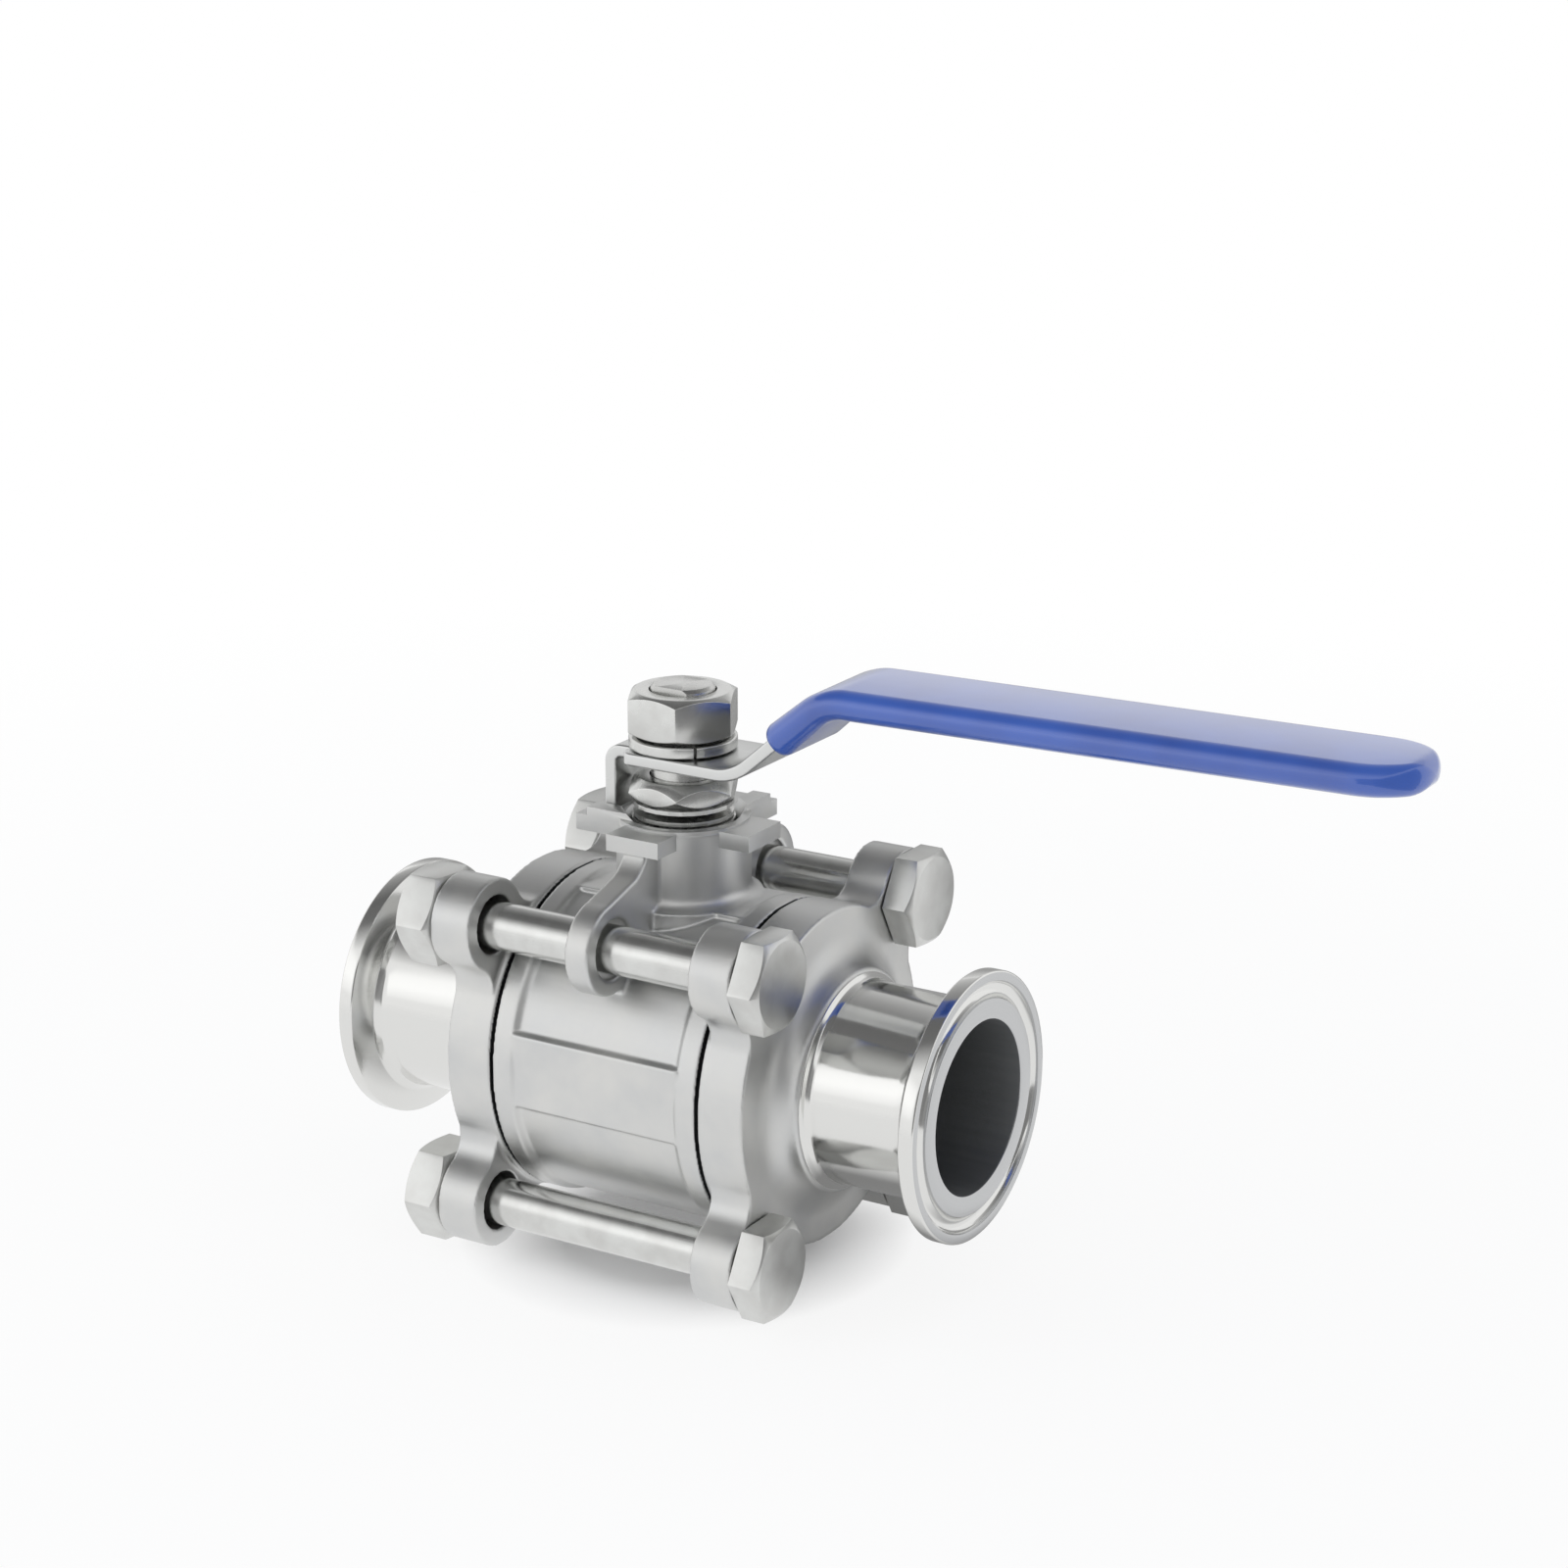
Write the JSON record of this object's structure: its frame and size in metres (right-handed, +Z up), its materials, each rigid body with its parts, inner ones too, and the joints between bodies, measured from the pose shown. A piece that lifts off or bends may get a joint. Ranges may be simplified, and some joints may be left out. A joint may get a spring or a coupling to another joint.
{
  "type": "ball valve",
  "caption": "Ball valve: ringed centre body between lugged end caps on tie bolts, clamp ferrule ends, and a cranked lever with a dipped grip that turns the ball from open to closed.",
  "frame": {"origin": "centre of the ball, on the pipe axis under the stem", "axes": "+X along the pipe towards the end the open lever points at, +Z up the stem, -Y towards the viewer's side with the front name pad"},
  "size_m": [0.2085, 0.0746, 0.1148],
  "materials": {
    "cast_stainless": "bead-blasted investment casting, satin",
    "polished_stainless": "machined and polished",
    "fastener_steel": "bright cold-formed stainless",
    "lever_steel": "satin stainless strip",
    "ptfe": "natural PTFE",
    "blue_vinyl": "dipped glossy blue vinyl"
  },
  "bodies": {
    "valve": {"body": "cast_stainless", "left_end_cap": "cast_stainless", "right_end_cap": "cast_stainless", "left_ferrule": "polished_stainless", "right_ferrule": "polished_stainless", "tie_bolt_front_upper": "fastener_steel", "tie_bolt_rear_upper": "fastener_steel", "tie_bolt_front_lower": "fastener_steel", "tie_bolt_rear_lower": "fastener_steel", "tie_nut_front_upper": "fastener_steel", "tie_nut_rear_upper": "fastener_steel", "tie_nut_front_lower": "fastener_steel", "tie_nut_rear_lower": "fastener_steel", "gland_follower": "lever_steel", "left_seat": "ptfe", "right_seat": "ptfe", "left_body_gasket": "ptfe", "right_body_gasket": "ptfe", "stem_thrust_washer": "ptfe", "packing_ring_1": "ptfe", "packing_ring_2": "ptfe", "packing_ring_3": "ptfe"},
    "lever_group": {"stem": "lever_steel", "disc_spring_1": "lever_steel", "disc_spring_2": "lever_steel", "gland_nut": "fastener_steel", "lever": "lever_steel", "grip_sleeve": "blue_vinyl", "lever_spring_washer": "fastener_steel", "lever_nut": "fastener_steel"},
    "ball_group": {"ball": "polished_stainless"}
  },
  "joints": [
    {"name": "turn_lever", "type": "hinge", "parent": "valve", "child": "lever_group", "pos_m": [0, 0, 0], "axis": [0, 0, 1], "range_deg": [-90, 0]},
    {"name": "turn_ball", "type": "hinge", "parent": "valve", "child": "ball_group", "pos_m": [0, 0, 0], "axis": [0, 0, 1], "range_deg": [-90, 0]}
  ],
  "couplings": [
    {"joint": "turn_ball", "follows": "turn_lever", "ratio": 1}
  ]
}
